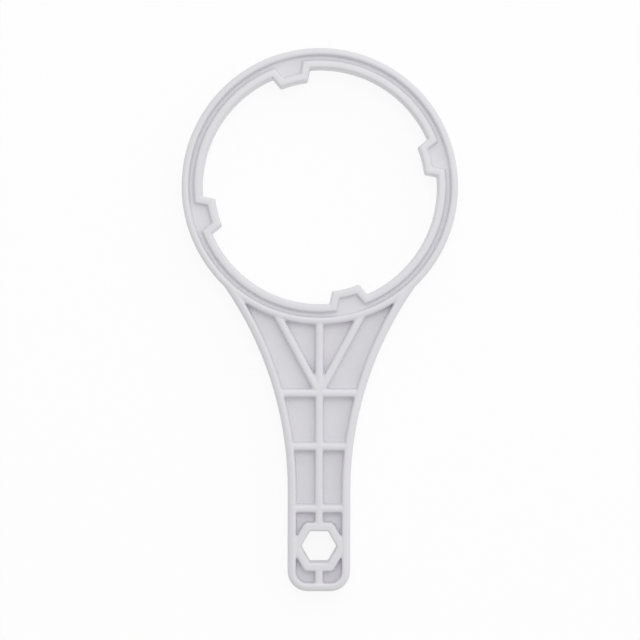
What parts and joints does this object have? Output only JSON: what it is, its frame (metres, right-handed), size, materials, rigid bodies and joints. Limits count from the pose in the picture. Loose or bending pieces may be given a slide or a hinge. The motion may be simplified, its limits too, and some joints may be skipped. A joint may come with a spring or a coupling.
{
  "type": "filter housing wrench",
  "caption": "Flat moulded ring wrench with lugs inside the ring and a ribbed handle, for turning the screw-on bowl of a water filter housing; hexagon socket in the handle's end.",
  "frame": {"origin": "on the ring's axis, in the plane of the face that the wrench lies on", "axes": "+Z along the ring's axis, up from the face it lies on; +Y from the handle to the ring, along the wrench; +X across it"},
  "size_m": [0.11, 0.2158, 0.012],
  "materials": {
    "white_plastic": "satin, as moulded"
  },
  "bodies": {
    "root": {"wrench": "white_plastic"}
  },
  "joints": []
}
